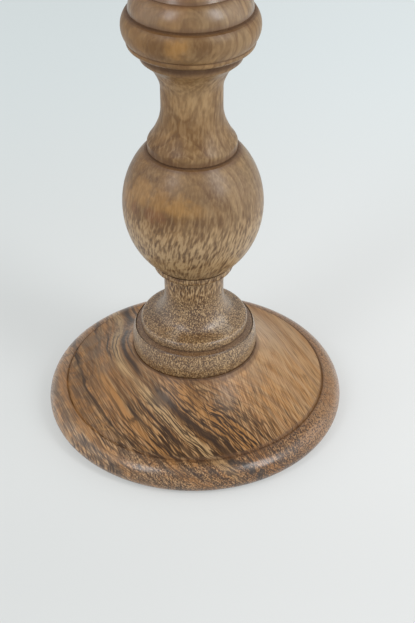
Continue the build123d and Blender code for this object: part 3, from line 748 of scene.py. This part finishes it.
lower_spots = (
    # Painted shade as a grey patch darkening the top of the ball, and brown arcs at its upper left
    ((0.0020, -0.0225, 0.1300), 0.0150, 0.22, slate),
    ((-0.0230, 0.0000, 0.1270), 0.0080, 0.5, brown),
    ((-0.0255, -0.0120, 0.1262), 0.0024, 0.7, brown),
    ((-0.0219, -0.0128, 0.1303), 0.0025, 0.65, brown),
    ((-0.0197, -0.0152, 0.1313), 0.0025, 0.65, brown),
    ((-0.0176, -0.0171, 0.1317), 0.0025, 0.65, brown),
    ((-0.0154, -0.0189, 0.1320), 0.0025, 0.65, brown),
    # The golden patches
    ((-0.0215, -0.0170, 0.1265), 0.0078, 0.42, gold),
    ((-0.0274, -0.0118, 0.1197), 0.0060, 0.4, gold),
    ((-0.0140, -0.0245, 0.1250), 0.0064, 0.36, gold),
    ((-0.0060, -0.0282, 0.1231), 0.0070, 0.46, gold),
    ((0.0010, -0.0290, 0.1225), 0.0050, 0.3, gold),
    # The brown band under them
    ((-0.0247, -0.0174, 0.1176), 0.0040, 0.4, rust),
    ((-0.0226, -0.0204, 0.1170), 0.0044, 0.5, brown),
    ((-0.0178, -0.0245, 0.1180), 0.0044, 0.5, rust),
    ((-0.0136, -0.0267, 0.1189), 0.0036, 0.45, rust),
    ((-0.0086, -0.0288, 0.1186), 0.0034, 0.5, brown),
    ((-0.0036, -0.0298, 0.1187), 0.0034, 0.55, brown),
    ((0.0013, -0.0301, 0.1179), 0.0036, 0.55, brown),
    ((0.0059, -0.0298, 0.1171), 0.0036, 0.45, brown),
    ((0.0100, -0.0286, 0.1173), 0.0034, 0.35, brown),
    # The line that slants down the ball's right
    ((0.0080, -0.0251, 0.1287), 0.0030, 0.45, brown),
    ((0.0105, -0.0256, 0.1261), 0.0028, 0.45, brown),
    ((0.0130, -0.0258, 0.1228), 0.0028, 0.45, brown),
    # Dark and pale sides of the bell: the dark patches, partly the wood's own brown and partly painted shade,
    # deepen its middle and left, and the pale ones are painted highlights where the lamps catch it
    ((-0.0145, -0.0065, 0.0560), 0.0105, 0.85, brown),
    ((0.0010, -0.0165, 0.0540), 0.0080, 0.75, brown),
    ((0.0130, -0.0130, 0.0525), 0.0070, 0.38, painted_highlight),
    ((-0.0095, -0.0185, 0.0495), 0.0045, 0.3, painted_highlight),
)
upper_spots = (
    # The bowl
    ((-0.0058, -0.0274, 0.1938), 0.0056, 0.5, gold),
    ((-0.0142, -0.0240, 0.1923), 0.0060, 0.5, brown),
    ((0.0040, -0.0275, 0.1940), 0.0060, 0.45, brown),
    # The cone
    ((-0.0166, -0.0096, 0.1409), 0.0062, 0.6, brown),
    ((-0.0065, -0.0158, 0.1443), 0.0050, 0.35, brown),
    # The neck and the top of the dome
    ((0.0000, -0.0140, 0.1660), 0.0140, 0.25, tan),
    ((-0.0060, -0.0180, 0.2080), 0.0080, 0.3, rust),
)

foot_wood = foot_finish(
    "Foot wood", grain=(0.407, -0.914, 0.0), through=(0.646, 0.288, 0.707), shift=(0.0, 0.0, 0.0),
    zones=foot_zones, veins=foot_veins, spots=foot_spots, cuts=foot_cuts, ledges=foot_ledges,
)
dish_wood = foot_finish(
    "Dish wood", grain=(0.86, 0.5, 0.0), through=(-0.42, 0.72, 0.55), shift=(-0.146, 0.31, 0.2),
    zones=dish_zones, veins=dish_veins, spots=(), cuts=dish_cuts, ledges=dish_ledges,
)
lower_wood = stem_finish(
    "Lower stem wood", shift=(0.0, 0.0, 0.0), neck_under=0.082, plain_over=0.114, plain=0.2,
    strength=1.0, curl_under=0.066, coarse=0.0009, cuts=lower_cuts, ledges=lower_ledges, grime_and_shade=0.55,
    satin=0.31, veil=0.04, gleam=0.4, gloss=(0.056, 0.066, 0.6, 0.0), gloss_blur=0.36, spots=lower_spots,
)
upper_wood = stem_finish(
    "Upper stem wood", shift=(0.02, 0.01, 0.3), neck_under=0.0, plain_over=0.18, plain=0.35,
    strength=0.34, curl_under=0.0, coarse=0.0012, cuts=upper_cuts, ledges=upper_ledges, grime_and_shade=0.5,
    satin=0.38, veil=0.0, gleam=0.3, gloss=(0.198, 0.201, 0.0, 0.6), gloss_blur=0.26, spots=upper_spots,
)
brass = brass_finish()
zinc = zinc_finish()
felt = felt_finish()

finishes = {
    "foot": foot_wood, "drip_dish": dish_wood, "lower_stem": lower_wood, "upper_stem": upper_wood,
    "base_felt": felt, "tie_rod": zinc, "rod_nut": zinc, "spring_washer": zinc, "plain_washer": zinc,
    "wax_pan": brass, "pricket": brass,
}
for name, material in finishes.items():
    for place in nodes[name].material_slots:
        place.material = material


# Camera, standing where the photograph's outlines and cut lines put it

photo_long_side = 623
focal_pixels = 1250.0
sensor = 36.0
stand_point = Vector((0.0, -0.46751, 0.39569))
pitch, yaw, roll = 0.6362, 0.01313, -0.00368
ahead = Vector((sin(yaw) * cos(pitch), cos(yaw) * cos(pitch), -sin(pitch)))
level = Vector((cos(yaw), -sin(yaw), 0.0))
upright = level.cross(ahead)
right = level * cos(roll) + upright * sin(roll)
up = upright * cos(roll) - level * sin(roll)

lens = bpy.data.cameras.new("Photo camera")
lens.sensor_width = sensor
lens.lens = focal_pixels * sensor / photo_long_side
lens.clip_start, lens.clip_end = 0.01, 20.0
camera = bpy.data.objects.new("Photo camera", lens)
bpy.context.scene.collection.objects.link(camera)
camera.matrix_world = Matrix.LocRotScale(stand_point, Matrix((right, up, -ahead)).transposed(), None)
bpy.context.scene.camera = camera


# Floor


def floor_finish():
    """Smooth pale board, a little cooler and darker on the left, whose shadows show softly.

    The camera sees it at a dimmed share of its light and a glow, which grows far from the stand.
    """
    material, tree, shader, point = finish_material("Pale floor")
    axes = axes_of(tree, point)
    side = spread(tree, maths(tree, "MULTIPLY_ADD", axes["Y"], -0.1, axes["X"]), -0.2, 0.2)
    near = stain(tree, side, (0.735, 0.755, 0.748, 1), (0.845, 0.856, 0.85, 1))
    far = stain(tree, side, (0.725, 0.782, 0.788, 1), (0.805, 0.862, 0.873, 1))
    pale = stain(tree, spread(tree, axes["Y"], 0.03, 0.42), near, far)
    pale = stain(tree, 1.0, pale, spread(tree, axes["Y"], -0.13, -0.02, 0.945, 1.0), "MULTIPLY")
    dimmed = stain(tree, 1.0, pale, (0.47, 0.47, 0.47, 1), "MULTIPLY")
    seen = put(tree, "LightPath").outputs["Is Camera Ray"]
    tree.links.new(stain(tree, seen, pale, dimmed), shader.inputs["Base Color"])
    tree.links.new(pale, shader.inputs["Emission Color"])
    away = put(tree, "VectorMath", {0: point}, operation="LENGTH").outputs["Value"]
    glow = spread(tree, away, 0.7, 2.2, 0.436, 0.66)
    tree.links.new(times(tree, seen, glow), shader.inputs["Emission Strength"])
    shader.inputs["Roughness"].default_value = 0.9
    shader.inputs["Specular IOR Level"].default_value = 0.0
    return material


half_a_side = 12.0
floor_mesh = bpy.data.meshes.new("Floor")
shape = bmesh.new()
bmesh.ops.create_grid(shape, x_segments=2, y_segments=2, size=half_a_side)
shape.to_mesh(floor_mesh)
shape.free()
floor = bpy.data.objects.new("Floor", floor_mesh)
bpy.context.scene.collection.objects.link(floor)
floor_mesh.materials.append(floor_finish())


# Light

middle_of_stand = Vector((0.0, 0.0, 0.12))


def soft_lamp(name, towards, metres_off, width, height, power, colour):
    """A soft lamp, facing the middle of the stand."""
    light = bpy.data.lights.new(name, "AREA")
    light.shape = "RECTANGLE"
    light.size, light.size_y, light.energy, light.color = width, height, power, colour
    lamp = bpy.data.objects.new(name, light)
    away = Vector(towards).normalized()
    lamp.location = middle_of_stand + away * metres_off
    lamp.rotation_mode = "QUATERNION"
    lamp.rotation_quaternion = away.to_track_quat("Z", "Y")
    bpy.context.scene.collection.objects.link(lamp)


soft_lamp("Left lamp", towards=(-0.54, -0.57, 0.64), metres_off=1.3, width=0.32, height=0.72,
          power=5.1, colour=(0.94, 0.97, 1.0))
soft_lamp("Right lamp", towards=(0.646, -0.487, 0.588), metres_off=1.3, width=0.34, height=0.8,
          power=8.0, colour=(0.98, 0.99, 1.0))
soft_lamp("Left panel", towards=(-1.0, -0.1, 0.32), metres_off=1.4, width=1.2, height=1.2,
          power=4.7, colour=(1.0, 0.955, 0.89))
soft_lamp("Right panel", towards=(1.0, -0.1, 0.32), metres_off=1.4, width=1.2, height=1.2,
          power=5.1, colour=(1.0, 0.995, 0.98))

world = bpy.data.worlds.new("Room light")
world.use_nodes = True
bpy.context.scene.world = world
sky = world.node_tree.nodes["Background"]
sky.inputs["Color"].default_value = (0.97, 0.99, 1.0, 1)
seen = put(world.node_tree, "LightPath").outputs["Is Camera Ray"]
world.node_tree.links.new(spread(world.node_tree, seen, 0.0, 1.0, 0.66, 0.8), sky.inputs["Strength"])

bpy.context.scene.view_settings.view_transform = "Standard"
